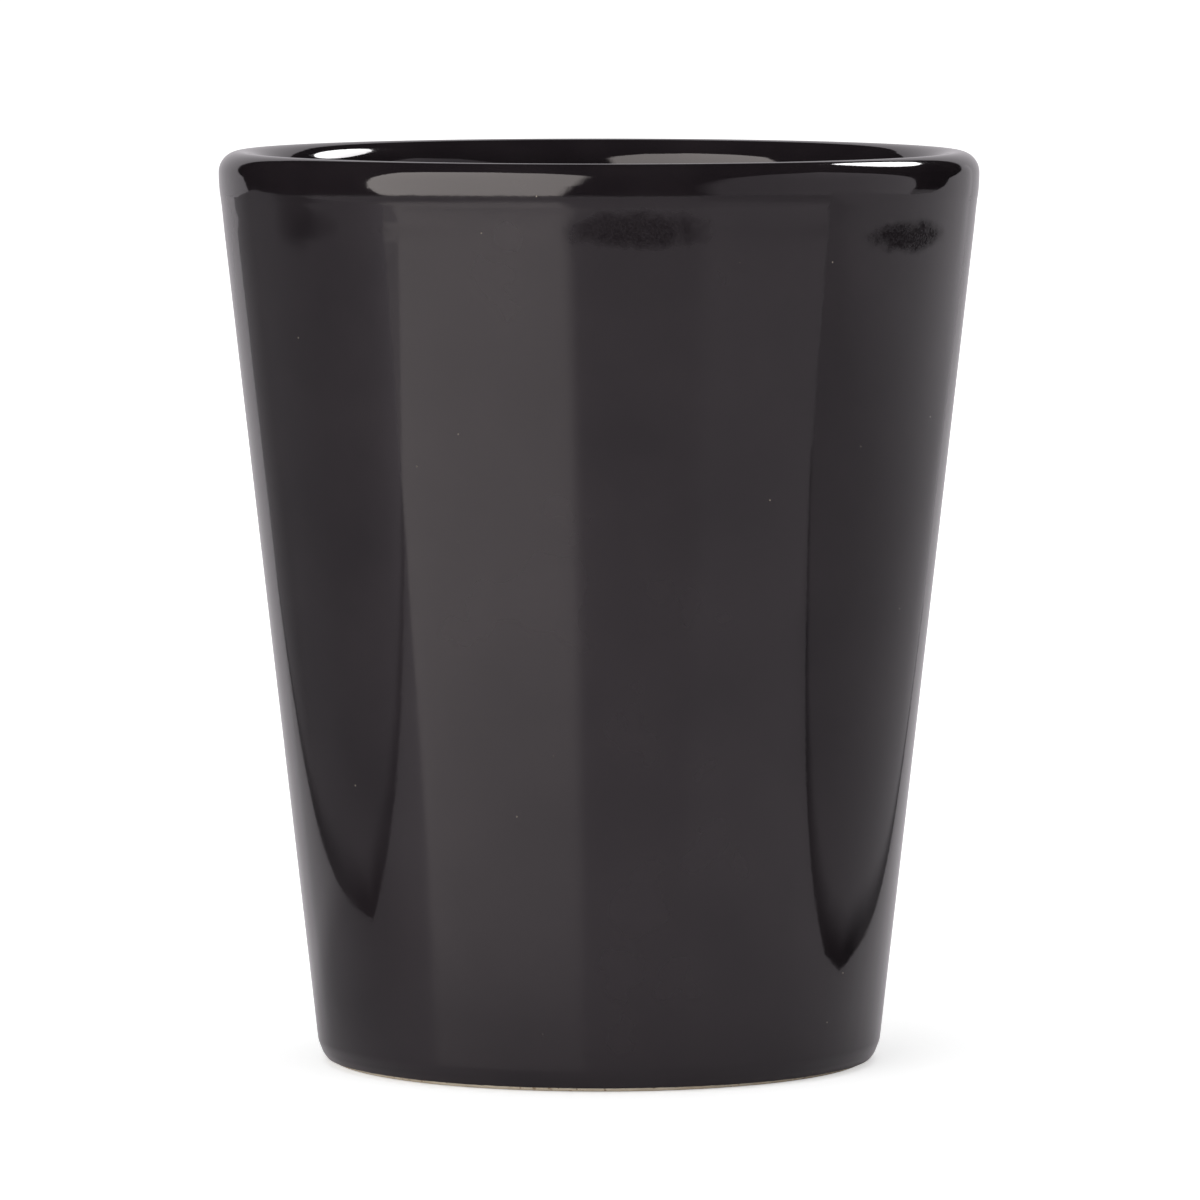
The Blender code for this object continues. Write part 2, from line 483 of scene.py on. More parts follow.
def pinholes(tree, coordinate):
    cells = add_node(tree, "ShaderNodeTexVoronoi")
    cells.inputs["Scale"].default_value = PINHOLE_CELLS
    join(tree, (coordinate, cells.inputs["Vector"]))
    return spread(tree, cells.outputs["Distance"], *PINHOLE_REACH, 1, 0)


def smudges(tree, coordinate):
    """Share of dullness: soft ovals with ragged edges, broken up by grain."""
    axes = split_axes(tree, coordinate)
    angle = maths(tree, "ARCTAN2", axes["Y"], axes["X"])
    ragged = noise_at(tree, coordinate, *RAGGED_NOISE)
    ragged = spread(tree, ragged, *NOISE_SPAN, -RAGGED_REACH, RAGGED_REACH)
    whole = 0
    for direction, depth, half_width, half_height, strength in zip(
        SMUDGE_DIRECTIONS, SMUDGE_DEPTHS, SMUDGE_HALF_WIDTHS, SMUDGE_HALF_HEIGHTS, SMUDGE_STRENGTHS
    ):
        sideways = maths(tree, "SUBTRACT", angle, math.radians(direction))
        sideways = maths(tree, "DIVIDE", sideways, math.radians(half_width))
        upwards = maths(tree, "SUBTRACT", axes["Z"], HEIGHT - depth)
        upwards = maths(tree, "DIVIDE", upwards, half_height)
        square = maths(tree, "ADD", maths(tree, "POWER", sideways, 2), maths(tree, "POWER", upwards, 2))
        oval = spread(tree, maths(tree, "ADD", square, ragged), *SMUDGE_FADE, strength, 0, True)
        whole = maths(tree, "ADD", oval, whole)
    grain = spread(tree, noise_at(tree, coordinate, *GRAIN_NOISE), *GRAIN_SPAN, GRAIN_LEAST, 1)
    return maths(tree, "MULTIPLY", whole, grain)


print("smudges:", len(SMUDGE_DIRECTIONS))

# %% Glaze material
GLAZE_DARK = (0.0100, 0.0078, 0.0094, 1)
GLAZE_WARM = (0.0165, 0.0132, 0.0150, 1)
GLAZE_INDEX = 1.5
GLAZE_TINT = (1, 0.955, 0.985, 1)
PINHOLE_PALE = (0.34, 0.30, 0.24, 1)
DRIFT_NOISE = (130, 3)
GLOSS_NOISE = (420, 2)
GLAZE_ROUGHNESS = (0.042, 0.07)
PINHOLE_ROUGHNESS = 0.6
SMUDGE_ROUGHNESS = 0.2
SMUDGE_SPECULAR = (0.5, 0.02)
PEEL_NOISE = (2600, 2)
PEEL_BUMP = (0.12, 0.000012)
PIT_BUMP = (0.5, 0.00003)


def glaze_material(name, smudged=False):
    material, tree, shader, coordinate = new_material(name)
    glass = ramp(tree, noise_at(tree, coordinate, *DRIFT_NOISE), NOISE_SPAN, (GLAZE_DARK, GLAZE_WARM))
    holes = pinholes(tree, coordinate)
    gloss = spread(tree, noise_at(tree, coordinate, *GLOSS_NOISE), *NOISE_SPAN, *GLAZE_ROUGHNESS)
    gloss = maths(tree, "MAXIMUM", gloss, maths(tree, "MULTIPLY", holes, PINHOLE_ROUGHNESS))
    if smudged:
        dull = smudges(tree, coordinate)
        gloss = maths(tree, "MAXIMUM", gloss, maths(tree, "MULTIPLY", dull, SMUDGE_ROUGHNESS))
        join(tree, (spread(tree, dull, 0, 1, *SMUDGE_SPECULAR), shader["Specular IOR Level"]))
    peel = bump(tree, noise_at(tree, coordinate, *PEEL_NOISE), *PEEL_BUMP)
    pits = bump(tree, spread(tree, holes, 0, 1, 1, 0), *PIT_BUMP, peel)
    shader["IOR"].default_value = GLAZE_INDEX
    shader["Specular Tint"].default_value = GLAZE_TINT
    join(tree, (lay_over(tree, glass, holes, PINHOLE_PALE), shader["Base Color"]))
    join(tree, (gloss, shader["Roughness"]), (pits, shader["Normal"]))
    return material


outside_finish = glaze_material("black glaze outside", smudged=True)
inside_finish = glaze_material("black glaze inside")
underside_finish = glaze_material("black glaze underneath")
print("glazes:", outside_finish.name, inside_finish.name, underside_finish.name)

# %% [markdown]
# ## Bare clay
# Where the foot was wiped before firing, the clay shows: a dry cream stoneware with tan freckles and
# dark grains. One flat colour would look like plastic, so noise mixes the creams and sets the freckles.
# The clay is matt and its surface is sandy, so two sizes of bump lie on top of each other.

# %% Clay material
CLAY_CREAM = (0.84, 0.77, 0.62, 1)
CLAY_SHADE = (0.75, 0.66, 0.50, 1)
CLAY_TAN = (0.42, 0.31, 0.20, 1)
CREAM_NOISE = (600, 4)
CREAM_SPAN = (0.35, 0.65)
FRECKLE_NOISE = (2300, 2)
FRECKLE_SPAN = (0.60, 0.68)
COARSE_NOISE = (1800, 3)
COARSE_BUMP = (0.5, 0.00005)
SAND_NOISE = (7000, 2)
SAND_BUMP = (0.4, 0.00002)
DRY_NOISE = (1500, 2)
DRY_ROUGHNESS = (0.78, 0.95)


def clay_material(name):
    material, tree, shader, coordinate = new_material(name)
    body = ramp(tree, noise_at(tree, coordinate, *CREAM_NOISE), CREAM_SPAN, (CLAY_SHADE, CLAY_CREAM))
    freckles = spread(tree, noise_at(tree, coordinate, *FRECKLE_NOISE), *FRECKLE_SPAN, 0, 1)
    coarse = bump(tree, noise_at(tree, coordinate, *COARSE_NOISE), *COARSE_BUMP)
    sandy = bump(tree, noise_at(tree, coordinate, *SAND_NOISE), *SAND_BUMP, coarse)
    dry = spread(tree, noise_at(tree, coordinate, *DRY_NOISE), *NOISE_SPAN, *DRY_ROUGHNESS)
    join(tree, (lay_over(tree, body, freckles, CLAY_TAN), shader["Base Color"]))
    join(tree, (dry, shader["Roughness"]), (sandy, shader["Normal"]))
    return material


clay_finish = clay_material("bare clay")
print("clay:", clay_finish.name)

# %% [markdown]
# ## The clay body
# The clay is the real cup, and the glaze only dresses it, so it is turned first, whole, a glaze's
# thickness behind the finished faces. Only its foot shows: a rounded outer corner, a flat standing ring
# and a shallow recess. The plain solid could stay here, but its corners are few-sided and bare clay is
# not smooth. So the section has many points at the foot, and a little swell, the way a sponge leaves it.

# %% Faces that the clay and the coats share
STILL = (0, 0)
HIDDEN_COUNT = 8


def plain(points, swell=0, edge=STILL):
    return [(radius, height, swell, edge) for radius, height in points]


def inner_face(inset, fillet_count, lip_count):
    fillet = arc(FILLET_CENTRE, FLOOR_FILLET + inset, -math.pi / 2, -INNER_LEAN, fillet_count)
    lip_centre = (CREST_RADIUS, HEIGHT - LIP_INNER_ROUND)
    lip = arc(lip_centre, LIP_INNER_ROUND - inset, math.pi - INNER_LEAN, math.pi / 2, lip_count)
    return fillet, lip


def outer_lip(inset, count):
    lip = arc((CREST_RADIUS, LIP_HEIGHT), LIP_OUTER_ROUND - inset, math.pi / 2, 0, count)
    blend = arc((RIM_RADIUS - LIP_BLEND, LIP_HEIGHT), LIP_BLEND - inset, 0, -OUTER_LEAN, count)
    return lip + blend[1:]


def line_between(start, end, count):
    return [
        (start[0] + (end[0] - start[0]) * i / count, start[1] + (end[1] - start[1]) * i / count)
        for i in range(1, count)
    ]


# %% Section of the clay
FOOT_EDGE_ROUND = 0.0009
FOOT_EDGE_COUNT = 14
SMOOTH_COUNT = 3
RING_WIDTH = 0.0026
RING_COUNT = 8
RING_SWELL = 0.4
RING_INNER_ROUND = 0.0004
RING_INNER_COUNT = 6
RECESS_DEPTH = patch_high.z
RECESS_MARGIN = 0.001
RECESS_COUNT = 12
LOWER_WALL_TOP = 0.006
LOWER_WALL_STEP = 0.0004
LOWER_WALL_COUNT = 13

FOOT_CENTRE = (wall_point(FOOT_EDGE_ROUND, GLAZE_THICKNESS + FOOT_EDGE_ROUND)[0], FOOT_EDGE_ROUND)
clay_fillet, clay_lip = inner_face(GLAZE_THICKNESS, HIDDEN_COUNT, HIDDEN_COUNT)
clay_floor = [(0, FLOOR_HEIGHT - GLAZE_THICKNESS)]
lower_wall = [
    wall_point(LOWER_WALL_TOP - LOWER_WALL_STEP * i, GLAZE_THICKNESS) for i in range(LOWER_WALL_COUNT)
]
foot_edge = arc(FOOT_CENTRE, FOOT_EDGE_ROUND, -OUTER_LEAN, -math.pi / 2, FOOT_EDGE_COUNT)
ring_inner = (FOOT_CENTRE[0] - RING_WIDTH, RING_INNER_ROUND)
ring_edge = arc(ring_inner, RING_INNER_ROUND, -math.pi / 2, -math.pi, RING_INNER_COUNT)
recess_edge = (patch_high.x + RECESS_MARGIN, RECESS_DEPTH)
recess_middle = (0, RECESS_DEPTH)
recess = [recess_edge] + line_between(recess_edge, recess_middle, RECESS_COUNT) + [recess_middle]
hidden_clay = clay_floor + clay_fillet + clay_lip
hidden_clay += outer_lip(GLAZE_THICKNESS, HIDDEN_COUNT)[1:] + lower_wall
clay_section = (
    plain(hidden_clay + foot_edge[:SMOOTH_COUNT])
    + plain(foot_edge[SMOOTH_COUNT:], swell=1)
    + plain(line_between(foot_edge[-1], ring_edge[0], RING_COUNT), swell=RING_SWELL)
    + plain(ring_edge + recess, swell=1)
)
print("clay section:", len(clay_section), "points")

# %% Turn the clay body
SPONGED_GRAIN = {"Swell height": 0.00002, "Swells per metre": 900.0}

clay_body = turn_piece("clay_body_fired", clay_section, clay_finish, SPONGED_GRAIN)
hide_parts("clay_body")
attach(clay_body, "root")

# %% [markdown]
# ## The outside coat
# The coat runs from the crest of the lip to the glaze line. Its finished face is a long straight cone,
# with one faint neck just under the lip where the rim was turned and sponged. Towards the foot it
# thins, rolls round the corner of the clay and ends in a soft bead. A Solidify modifier on the clay would
# give it the same thickness all over, so it has a section of its own. The cup was dipped a little askew,
# so the line sits higher on one side, and it wanders and frays as a sponged edge does: each point there
# slides along the clay under it.

# %% Faces of the outside coat
GLAZE_LINE = 0.0003
GLAZE_TAPER = 0.0012
GLAZE_EDGE = 0.00008
LIP_COUNT = 28
WALL_COUNT = 110
WALL_CROWDING = 1.25
NECK_DEPTH = 0.00002
NECK_BELOW_CREST = 0.00355
NECK_WIDTH = 0.0009
SWELL_FADE = 0.004


def ease(share):
    share = min(1, max(0, share))
    return share * share * (3 - 2 * share)


def neck(height):
    return NECK_DEPTH * math.exp(-(((HEIGHT - NECK_BELOW_CREST - height) / NECK_WIDTH) ** 2))


lip_face = outer_lip(0, LIP_COUNT)
wall_top = lip_face[-1][1]
taper_top = GLAZE_LINE + GLAZE_TAPER
wall_shares = [(i / WALL_COUNT) ** WALL_CROWDING for i in range(1, WALL_COUNT + 1)]
wall_heights = [wall_top + (taper_top - wall_top) * share for share in wall_shares]
wall_face = [wall_point(z, neck(z)) for z in wall_heights]


def clear_of_lip(height):
    return ease((HEIGHT - height) / SWELL_FADE)


def outside_swell(height):
    return clear_of_lip(height) * ease((height - taper_top) / SWELL_FADE)


outside_section = [(r, z, outside_swell(z), STILL) for r, z in lip_face + wall_face]
print("outside wall from %.2f to %.2f mm" % (wall_top * MILLIMETRES, taper_top * MILLIMETRES))

# %% Edge of the outside coat
TAPER_STEPS = 18
BEAD_COUNT = 8
FOOT_EDGE_TOP = FOOT_EDGE_ROUND * (1 - math.sin(OUTER_LEAN))


def clay_tilt(height):
    """How far the outside of the clay faces up, on the wall or round the corner of the foot."""
    if height > FOOT_EDGE_TOP:
        return -OUTER_LEAN
    return math.asin(height / FOOT_EDGE_ROUND - 1)


def off_clay(height, offset):
    """Point off the outside of the clay, square to it."""
    tilt = clay_tilt(height)
    if height > FOOT_EDGE_TOP:
        radius = wall_point(height, GLAZE_THICKNESS)[0]
    else:
        radius = FOOT_CENTRE[0] + FOOT_EDGE_ROUND * math.cos(tilt)
    return (radius + offset * math.cos(tilt), height + offset * math.sin(tilt))


def slide_at(height):
    """Way up along the clay for a point of the coat, full at the glaze line, none above the corner."""
    tilt = clay_tilt(height)
    share = ease((FOOT_EDGE_TOP - height) / (FOOT_EDGE_TOP - GLAZE_LINE))
    return (-math.sin(tilt) * share, math.cos(tilt) * share)


bond_face = []
for i in range(1, TAPER_STEPS + 1):
    z = taper_top - GLAZE_TAPER * i / TAPER_STEPS
    thickness = GLAZE_THICKNESS + (GLAZE_EDGE - GLAZE_THICKNESS) * ease(i / TAPER_STEPS)
    outside_section += plain([off_clay(z, thickness)], edge=slide_at(z))
    bond_face += plain([off_clay(z, 0)], edge=slide_at(z))
line_tilt = clay_tilt(GLAZE_LINE)
bead_centre = off_clay(GLAZE_LINE, GLAZE_EDGE / 2)
bead = arc(bead_centre, GLAZE_EDGE / 2, line_tilt, line_tilt - math.pi, BEAD_COUNT)[1:-1]
outside_section += plain(bead, edge=slide_at(GLAZE_LINE))
outside_section += bond_face[::-1]
outside_section += plain(outer_lip(GLAZE_THICKNESS, HIDDEN_COUNT)[::-1])
outside_section.append(outside_section[0])
print("outside section:", len(outside_section), "points")

# %% Turn the outside coat
FIRED_SWELL = {"Swell height": 0.00001, "Swells per metre": 140.0}
SPONGED_LINE = {
    "Edge tilt": 0.00006,
    "Edge tilt direction": math.radians(-115),
    "Edge wander": 0.00014,
    "Edge fray": 0.0001,
    "Seed": 4.0,
}

outer_coat = turn_piece("outer_glaze_coat", outside_section, outside_finish, FIRED_SWELL | SPONGED_LINE)
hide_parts("outer_glaze")
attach(outer_coat, "root")

# %% [markdown]
# ## The inside coat
# The liner glaze is poured in and swirled before the outside is dipped, so it is a coat of its own. One
# shell for both coats would be simpler, but then the inside could not have another colour. It meets the
# outside coat along the crest of the lip, point for point, and both have no swell there, so the seam is
# as smooth as the fused glaze on the real lip.

# %% Turn the inside coat
FILLET_COUNT = 24
FLOOR_COUNT = 24
INNER_WALL_COUNT = 60
POURED_GLAZE = {"Seed": 7.0}

fillet, lip = inner_face(0, FILLET_COUNT, LIP_COUNT)
floor_middle = (0, FLOOR_HEIGHT)
floor_face = [floor_middle] + line_between(floor_middle, fillet[0], FLOOR_COUNT)
inside_points = floor_face + fillet + line_between(fillet[-1], lip[0], INNER_WALL_COUNT) + lip
inside_section = [(r, z, clear_of_lip(z), STILL) for r, z in inside_points]
inside_section += plain(clay_lip[::-1] + clay_fillet[::-1] + clay_floor)
liner_coat = turn_piece("liner_glaze_coat", inside_section, inside_finish, FIRED_SWELL | POURED_GLAZE)
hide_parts("liner_glaze")
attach(liner_coat, "root")

# %% [markdown]
# ## The patch underneath
# Wiping the standing ring leaves a pool of glaze in the recess, and surface tension rounds its rim. A
# flat disc would look cut out. This is a flat drop with a wandering outline, turned like the rest, its
# edge moved in and out instead of up and down.

# %% Turn the base patch
PATCH_RADIUS = patch_high.x
PATCH_THICKNESS = patch_high.z - patch_low.z
PATCH_RIM_COUNT = 8
PATCH_COUNT = 20
OUTWARDS = (1, 0)
POOLED_GLAZE = {
    "Swell height": 0.00006,
    "Swells per metre": 150.0,
    "Edge wander": 0.0012,
    "Edge fray": 0.0002,
    "Seed": 11.0,
}

rim_centre = (PATCH_RADIUS - PATCH_THICKNESS, RECESS_DEPTH)
patch_rim = arc(rim_centre, PATCH_THICKNESS, 0, -math.pi / 2, PATCH_RIM_COUNT)
patch_middle = (0, patch_low.z)
patch_section = plain([recess_middle]) + plain(patch_rim, edge=OUTWARDS)
for r, z in line_between(patch_rim[-1], patch_middle, PATCH_COUNT) + [patch_middle]:
    patch_section.append((r, z, ease(1 - r / PATCH_RADIUS), (ease(r / PATCH_RADIUS), 0)))
base_patch = turn_piece("base_glaze_patch", patch_section, underside_finish, POOLED_GLAZE)
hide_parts("base_glaze")
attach(base_patch, "root")

# %% [markdown]
# ## The floor
# The cup stands on a plain white table. The camera sees it as white paper that keeps the shadow, and the
# glaze sees it as a smooth glossy sheet that mirrors the lights near the horizon, carries a painted shadow
# where a box stands close to the cup, and is matt beyond that box. One material for both would have to be
# too grey or too bright, so Light Path's Is Camera Ray tells the two apart.

# %% Sheet on the table
FLOOR_SIZE = 40.0
FLOOR_DROP = 0.00002
TABLE_GLOSS_REACH = (0.03, 0.15)
TABLE_GLOSS = (0.03, 0.5)
LEFT_CORNER = (-0.052, -0.006, 0.0503)
LEFT_FRONT = [(-0.138, -0.066, 0.026)]
MATT_PLACE = (-0.185, -0.08, 0)
MATT_REACH = (0.05, 0.08)
MATT_EDGE = (-0.004, 0.001)
MATT_SHARE = 0.97


def flat_square(name, size, height):
    form = bmesh.new()
    bmesh.ops.create_grid(form, x_segments=1, y_segments=1, size=size / 2)
    bmesh.ops.translate(form, verts=form.verts, vec=(0, 0, height))
    mesh = bpy.data.meshes.new(name)
    form.to_mesh(mesh)
    form.free()
    square = bpy.data.objects.new(name, mesh)
    scene.collection.objects.link(square)
    return square


def offset_from(tree, point):
    place = add_node(tree, "ShaderNodeTexCoord").outputs["Object"]
    return vector_maths(tree, "SUBTRACT", place, point).outputs[0]


def distance_from(tree, point):
    return vector_maths(tree, "LENGTH", offset_from(tree, point)).outputs["Value"]


def matt_share(tree):
    """Share of matt table: beyond the left box, behind the line of its front."""
    run = Vector(LEFT_FRONT[0]).xy - Vector(LEFT_CORNER).xy
    square = Vector((-run.y, run.x, 0)).normalized()
    offset = offset_from(tree, (LEFT_CORNER[0], LEFT_CORNER[1], 0))
    before = vector_maths(tree, "DOT_PRODUCT", offset, tuple(square)).outputs["Value"]
    behind = spread(tree, before, *MATT_EDGE, MATT_SHARE, 0, True)
    near = spread(tree, distance_from(tree, MATT_PLACE), *MATT_REACH, 1, 0, True)
    return maths(tree, "MULTIPLY", behind, near)


def table_gloss(tree, distance):
    gloss = spread(tree, distance, *TABLE_GLOSS_REACH, *TABLE_GLOSS)
    return maths(tree, "MULTIPLY", gloss, maths(tree, "SUBTRACT", 1, matt_share(tree)))


# %% Floor
TABLE_WHITE = (0.82, 0.785, 0.815, 1)
TABLE_SHADE = (0.50, 0.48, 0.50, 1)
TABLE_ROUGHNESS = 0.24
SHADE_PLACE = (-0.046, 0.001, 0)
SHADE_REACH = (0.012, 0.036)
PAPER_WHITE = (0.8, 0.8, 0.8, 1)
PAPER_REACH = (0.05, 1.2)
PAPER_LIFT = (0.55, 0.95)


def floor_material():
    material = bpy.data.materials.new("white table")
    material.use_nodes = True
    tree = material.node_tree
    distance = distance_from(tree, (0, 0, 0))
    sheet = tree.nodes["Principled BSDF"]
    # Painted shadow of the left box: the sheet's colour darkens towards SHADE_PLACE, since the boxes cast
    # no shadow.
    shade = spread(tree, distance_from(tree, SHADE_PLACE), *SHADE_REACH, 0, 1, True)
    join(tree, (ramp(tree, shade, (0, 1), (TABLE_SHADE, TABLE_WHITE)), sheet.inputs["Base Color"]))
    join(tree, (table_gloss(tree, distance), sheet.inputs["Specular IOR Level"]))
    sheet.inputs["Roughness"].default_value = TABLE_ROUGHNESS
    paper = add_node(tree, "ShaderNodeBsdfDiffuse")
    paper.inputs["Color"].default_value = PAPER_WHITE
    lift = add_node(tree, "ShaderNodeEmission")
    join(tree, (spread(tree, distance, *PAPER_REACH, *PAPER_LIFT), lift.inputs["Strength"]))
    lifted = add_node(tree, "ShaderNodeAddShader")
    choice = add_node(tree, "ShaderNodeMixShader")
    ray = add_node(tree, "ShaderNodeLightPath")
    join(tree, (paper.outputs[0], lifted.inputs[0]), (lift.outputs[0], lifted.inputs[1]))
    join(tree, (ray.outputs["Is Camera Ray"], choice.inputs[0]), (sheet.outputs[0], choice.inputs[1]))
    join(tree, (lifted.outputs[0], choice.inputs[2]))
    join(tree, (choice.outputs[0], tree.nodes["Material Output"].inputs["Surface"]))
    return material


floor = flat_square("floor", FLOOR_SIZE, -FLOOR_DROP)
floor.data.materials.append(floor_material())
print("floor", FLOOR_SIZE, "m wide")

# %% [markdown]
# ## The background
# Behind the cup is plain white. A sheet of paper would do, but the world is simpler and has no edge. It is
# white to the camera and in reflections, and only a weak fill to everything else, so that the lamps
# decide how light the table and the clay are.

# %% World
WHITE = (1, 1, 1, 1)
FILL_STRENGTH = 0.2

world = bpy.data.worlds.new("white studio")
scene.world = world
world.use_nodes = True
sky = world.node_tree
seen = add_node(sky, "ShaderNodeLightPath").outputs
straight = maths(sky, "MAXIMUM", seen["Is Camera Ray"], seen["Is Glossy Ray"])
straight = maths(sky, "MAXIMUM", straight, seen["Is Transmission Ray"])
join(sky, (spread(sky, straight, 0, 1, FILL_STRENGTH, 1), sky.nodes["Background"].inputs["Strength"]))
sky.nodes["Background"].inputs["Color"].default_value = WHITE
print("fill", FILL_STRENGTH)

# %% [markdown]
# ## What the glaze reflects
# Black pottery is lit by what stands around it. A ring of cards does that here: a big soft panel at the
# front left, a dim reflector at the right, a pale card behind, and dark flags between and above them. A
# picture of a studio on the world would do the same for one cup at one place, but cards can be moved one
# by one. They only show in reflections, so they neither shade the table nor stand in the picture. Angles
# are measured at the cup from the camera's direction, to the right positive.

# %% Card helpers
CARD_COLUMNS = 24


def only_reflected(card):
    card.visible_camera = False
    card.visible_diffuse = False
    card.visible_transmission = False
    card.visible_volume_scatter = False
    card.visible_shadow = False


def glow_tree(name, tint):
    material = bpy.data.materials.new(name)
    material.use_nodes = True
    tree = material.node_tree
    tree.nodes.remove(tree.nodes["Principled BSDF"])
    glow = add_node(tree, "ShaderNodeEmission")
    glow.inputs["Color"].default_value = tint
    join(tree, (glow.outputs[0], tree.nodes["Material Output"].inputs["Surface"]))
    across = split_axes(tree, add_node(tree, "ShaderNodeTexCoord").outputs["UV"])
    return material, tree, glow.inputs["Strength"], across["X"], across["Y"]


def card_material(name, levels, soft=(0, 0), low=None, tint=WHITE):
    """Levels run from left to right and fade at the sides by the soft shares of the width.

    Low is a level at the foot and the height at which it has faded.
    """
    material, tree, strength, across, height = glow_tree(name, tint)
    level = spread(tree, across, 0, 1, *levels)
    if soft[0] > 0:
        level = maths(tree, "MULTIPLY", level, spread(tree, across, 0, soft[0], 0, 1, True))
    if soft[1] > 0:
        level = maths(tree, "MULTIPLY", level, spread(tree, across, 1, 1 - soft[1], 0, 1, True))
    if low is not None:
        level = maths(tree, "ADD", level, spread(tree, height, 0, low[1], low[0], 0, True))
    join(tree, (level, strength))
    return material


def curved_card(name, radius, rows, material):
    """Rows give the card's outline from the bottom up as (height, left angle, right angle)."""
    form = bmesh.new()
    uv = form.loops.layers.uv.new("card")
    grid = []
    for height, start, end in rows:
        line = []
        for i in range(CARD_COLUMNS + 1):
            angle = math.radians(start + (end - start) * i / CARD_COLUMNS)
            line.append(form.verts.new((radius * math.sin(angle), -radius * math.cos(angle), height)))
        grid.append(line)
    for lower, upper in zip(grid, grid[1:]):
        for i in range(CARD_COLUMNS):
            face = form.faces.new((lower[i], lower[i + 1], upper[i + 1], upper[i]))
            for loop, u in zip(face.loops, (i, i + 1, i + 1, i)):
                loop[uv].uv = (u / CARD_COLUMNS, loop.vert.co.z)
    mesh = bpy.data.meshes.new(name)
    form.to_mesh(mesh)
    form.free()
    mesh.materials.append(material)
    card = bpy.data.objects.new(name, mesh)
    scene.collection.objects.link(card)
    only_reflected(card)


# %% Dark surround and pale card behind
SURROUND_RADIUS = 0.6
SURROUND_TOP = 1.4
FULL_TURN = 360
DARK_LEVELS = (0.005, 0.005)
COOL = (1, 0.955, 1, 1)
BACK_LEVELS = (0.6, 0.6)
BACK_ROWS = [(0, 131, 229), (0.03, 134, 226), (0.1, 140, 221)]
BACK_ROWS += [(0.2, 148, 215), (0.3, 155, 209), (0.38, 163, 202)]
CEILING_SIZE = 1.32

back_top, back_start, back_end = BACK_ROWS[-1]
dark_rows = [(height, end - FULL_TURN, start) for height, start, end in BACK_ROWS]
dark_rows.append((SURROUND_TOP, back_end - FULL_TURN, back_start))
curved_card("dark_surround", SURROUND_RADIUS, dark_rows, card_material("dark surround", DARK_LEVELS))
back_finish = card_material("back card", BACK_LEVELS, tint=COOL)
curved_card("back_card", SURROUND_RADIUS, BACK_ROWS, back_finish)
above_rows = [BACK_ROWS[-1], (SURROUND_TOP, back_start, back_end)]
curved_card("back_flag", SURROUND_RADIUS, above_rows, card_material("back flag", DARK_LEVELS))
ceiling = flat_square("ceiling_flag", CEILING_SIZE, SURROUND_TOP)
ceiling.data.materials.append(card_material("ceiling flag", DARK_LEVELS))
only_reflected(ceiling)
print("card behind reaches %.2f m up" % back_top)

# %% Soft panel, its flag, and the reflector at the right
RING_RADIUS = 0.34
PANEL_WARM = (1, 0.965, 0.91, 1)
PANEL_LEVELS = (4.0, 3.5)
PANEL_SOFT = (0.02, 0.06)
PANEL_ROWS = [(0.011, -65, -10), (0.015, -68, -9), (0.032, -72, -7), (0.062, -72, -5), (0.11, -72, -4)]
PANEL_ROWS += [(0.26, -75, -3), (0.42, -80, -2), (0.52, -76, -5), (0.62, -68, -13), (0.75, -55, -26)]
FLAG_RADIUS = 0.39
FLAG_SPAN = (-128, 30)
FLAG_LOW = (0.4, 0.008)
SIDE_LEVELS = (0.5, 0.75)
SIDE_SOFT = (0.12, 0)
SIDE_ROWS = [(0.012, 28, 104), (0.03, 26, 108), (0.1, 28, 105)]
SIDE_ROWS += [(0.19, 33, 98), (0.26, 39, 93), (0.38, 62, 86)]

panel_finish = card_material("soft panel", PANEL_LEVELS, PANEL_SOFT, tint=PANEL_WARM)
curved_card("soft_panel", RING_RADIUS, PANEL_ROWS, panel_finish)
flag_rows = [(0, *FLAG_SPAN), (SURROUND_TOP, *FLAG_SPAN)]
curved_card("front_flag", FLAG_RADIUS, flag_rows, card_material("front flag", DARK_LEVELS, low=FLAG_LOW))
# The reflector is painted light: a card that glows at set levels in place of one lit by the lamps, seen
# only in the glaze.
side_finish = card_material("side reflector", SIDE_LEVELS, SIDE_SOFT, tint=COOL)
curved_card("side_reflector", RING_RADIUS, SIDE_ROWS, side_finish)

# %% [markdown]
# ## The round lamp behind
# A round lamp behind the cup makes the small white oval inside the lip. A real lamp would also light the
# table, so it is one more card: a disc that faces the cup, stretched to an oval.

# %% Round lamp
LAMP_AZIMUTH = math.radians(141)
LAMP_ELEVATION = math.radians(39)
LAMP_DISTANCE = 0.33
LAMP_HALF_WIDTH = 0.07
LAMP_HALF_HEIGHT = 0.049
LAMP_SEGMENTS = 48
LAMP_LEVELS = (12, 12)

lamp_direction = Vector((
    math.cos(LAMP_ELEVATION) * math.sin(LAMP_AZIMUTH),
    -math.cos(LAMP_ELEVATION) * math.cos(LAMP_AZIMUTH),
    math.sin(LAMP_ELEVATION),
))
disc = bmesh.new()
bmesh.ops.create_circle(disc, cap_ends=True, segments=LAMP_SEGMENTS, radius=1)
disc_mesh = bpy.data.meshes.new("rear_lamp")
disc.to_mesh(disc_mesh)
disc.free()
disc_mesh.materials.append(card_material("rear_lamp", LAMP_LEVELS))
rear_lamp = bpy.data.objects.new("rear_lamp", disc_mesh)
rear_lamp.location = Vector((0, 0, HEIGHT)) + lamp_direction * LAMP_DISTANCE
rear_lamp.rotation_euler = lamp_direction.to_track_quat("Z", "Y").to_euler()
rear_lamp.scale = (LAMP_HALF_WIDTH, LAMP_HALF_HEIGHT, 1)
scene.collection.objects.link(rear_lamp)
only_reflected(rear_lamp)
print("round lamp at", rounded([rear_lamp.location]))
